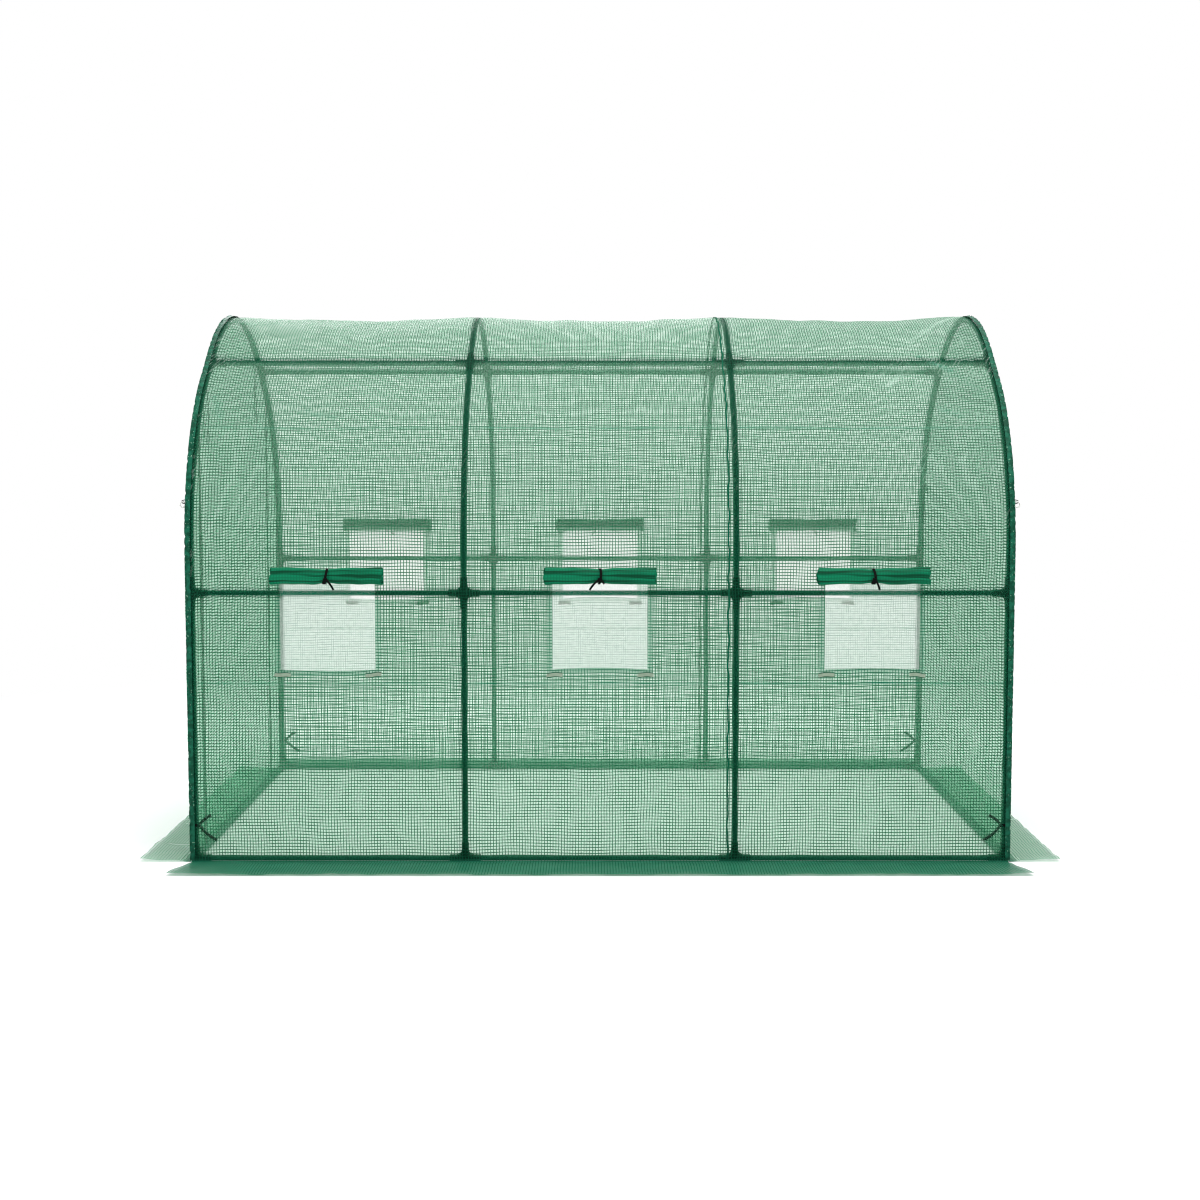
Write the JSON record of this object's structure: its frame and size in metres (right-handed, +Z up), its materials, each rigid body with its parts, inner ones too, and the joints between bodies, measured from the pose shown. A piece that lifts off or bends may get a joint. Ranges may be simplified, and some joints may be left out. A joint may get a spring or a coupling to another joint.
{
  "type": "polytunnel greenhouse",
  "caption": "Walk-in tunnel greenhouse: bent tube hoops, rails and purlins under a woven green film cover with a zipped door, net windows with rolled flaps, and ground skirts.",
  "frame": {"origin": "centre of the footprint, skirts included, on the ground", "axes": "+X along the tunnel from the door end to the back wall, +Y across to the left side as seen when facing the door, +Z up"},
  "size_m": [3.38, 2.46, 2.0422],
  "materials": {
    "frame_tube": "dark green powder coat on steel tube",
    "fitting": "dark green moulded plastic",
    "film": "translucent green film with a woven grid of darker threads",
    "skirt_film": "the same woven film, laid double on the ground or rolled up",
    "insect_net": "fine white insect net",
    "black_tape": "black woven tape and cord",
    "zip": "dark green zip tape with a black chain",
    "tab": "grey hook-and-loop tape",
    "ring": "white moulded plastic"
  },
  "bodies": {
    "root": {"front_hoop": "frame_tube", "second_hoop": "frame_tube", "third_hoop": "frame_tube", "back_hoop": "frame_tube", "right_base_rails": "frame_tube", "left_base_rails": "frame_tube", "end_base_rails": "frame_tube", "right_mid_rails": "frame_tube", "left_mid_rails": "frame_tube", "right_purlins": "frame_tube", "left_purlins": "frame_tube", "corner_elbows": "fitting", "base_tees": "fitting", "mid_tees": "fitting", "mid_crosses": "fitting", "purlin_tees": "fitting", "purlin_crosses": "fitting", "right_wall_sheet": "film", "left_wall_sheet": "film", "right_shoulder_sheet": "film", "left_shoulder_sheet": "film", "roof_sheet": "film", "front_right_panel": "film", "front_left_panel": "film", "door_panel": "film", "back_wall_sheet": "film", "right_skirt": "skirt_film", "left_skirt": "skirt_film", "front_skirts": "skirt_film", "back_skirt": "skirt_film", "door_zips": "zip", "zip_sliders": "zip", "right_window_nets": "insect_net", "left_window_nets": "insect_net", "right_window_rolls": "skirt_film", "left_window_rolls": "skirt_film", "window_ties": "black_tape", "window_tabs": "tab", "guy_rings": "ring", "ring_loops": "black_tape", "corner_ties": "black_tape", "door_tie_right_outer": "black_tape", "door_tie_right_inner": "black_tape", "door_tie_left_outer": "black_tape", "door_tie_left_inner": "black_tape"}
  },
  "joints": []
}
